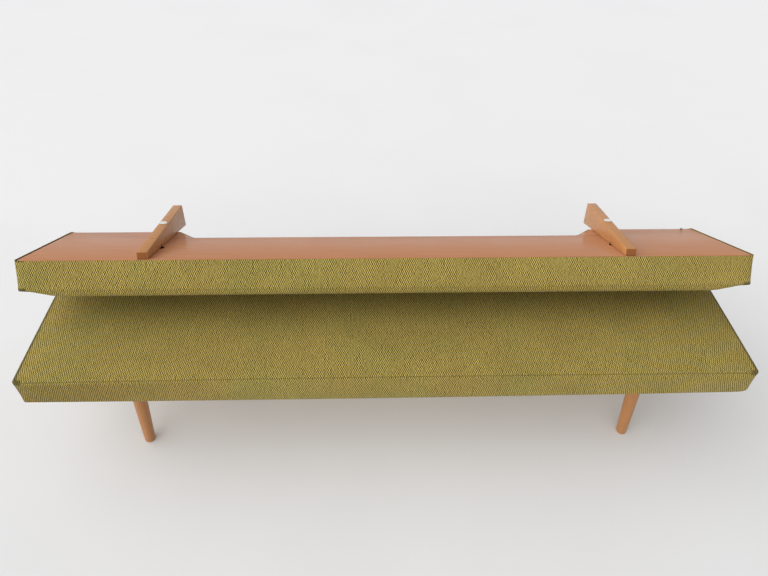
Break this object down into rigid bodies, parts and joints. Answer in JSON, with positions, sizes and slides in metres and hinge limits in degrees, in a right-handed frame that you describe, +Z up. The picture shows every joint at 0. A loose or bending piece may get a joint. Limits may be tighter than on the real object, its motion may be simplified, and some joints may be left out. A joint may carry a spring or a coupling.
{
  "type": "sofa",
  "caption": "Upholstered bench sofa on splayed round wooden legs, with a hinged padded backrest that folds forward over the seat and carries two wedge-shaped wooden arms behind.",
  "frame": {"origin": "on the floor, under the middle of the sofa's box", "axes": "+X along the sofa to its right as seen from the front, -Y to the front, +Z up"},
  "size_m": [2, 0.6554, 0.635],
  "materials": {
    "upholstery": "olive dotted weave",
    "foam": "open-cell foam",
    "webbing": "woven jute",
    "panel_veneer": "satin varnished veneer",
    "arm_wood": "satin varnished beech",
    "leg_wood": "satin varnished beech",
    "frame_wood": "sawn softwood",
    "steel": "plain steel",
    "polished_metal": "polished"
  },
  "bodies": {
    "base": {"seat_cover": "upholstery", "seat_foam": "foam", "seat_front_rail": "frame_wood", "seat_rear_rail": "frame_wood", "seat_left_rail": "frame_wood", "seat_right_rail": "frame_wood", "seat_left_cross_rail": "frame_wood", "seat_right_cross_rail": "frame_wood", "seat_webbing_1": "webbing", "seat_webbing_2": "webbing", "seat_webbing_3": "webbing", "seat_webbing_4": "webbing", "seat_webbing_5": "webbing", "seat_webbing_6": "webbing", "seat_webbing_7": "webbing", "seat_webbing_8": "webbing", "left_bearer": "frame_wood", "right_bearer": "frame_wood", "foot_board": "arm_wood", "front_left_leg": "leg_wood", "front_right_leg": "leg_wood", "rear_left_leg": "leg_wood", "rear_right_leg": "leg_wood", "front_left_leg_plate": "steel", "front_right_leg_plate": "steel", "rear_left_leg_plate": "steel", "rear_right_leg_plate": "steel", "front_left_leg_stud": "steel", "front_right_leg_stud": "steel", "rear_left_leg_stud": "steel", "rear_right_leg_stud": "steel", "left_seat_hinge": "steel", "right_seat_hinge": "steel", "left_hinge_pin": "steel", "right_hinge_pin": "steel"},
    "backrest": {"back_panel": "panel_veneer", "backrest_cover": "upholstery", "backrest_foam": "foam", "backrest_top_rail": "frame_wood", "backrest_notch_rail": "frame_wood", "left_end_stile": "frame_wood", "right_end_stile": "frame_wood", "left_arm_stile": "frame_wood", "right_arm_stile": "frame_wood", "left_foot_rail": "frame_wood", "right_foot_rail": "frame_wood", "left_arm": "arm_wood", "right_arm": "arm_wood", "left_arm_bolt": "polished_metal", "right_arm_bolt": "polished_metal", "left_back_hinge": "steel", "right_back_hinge": "steel"}
  },
  "joints": [
    {"name": "backrest_fold", "type": "hinge", "parent": "base", "child": "backrest", "pos_m": [0, 0.19033, 0.3799], "axis": [-1, 0, 0], "range_deg": [0, 86]}
  ]
}
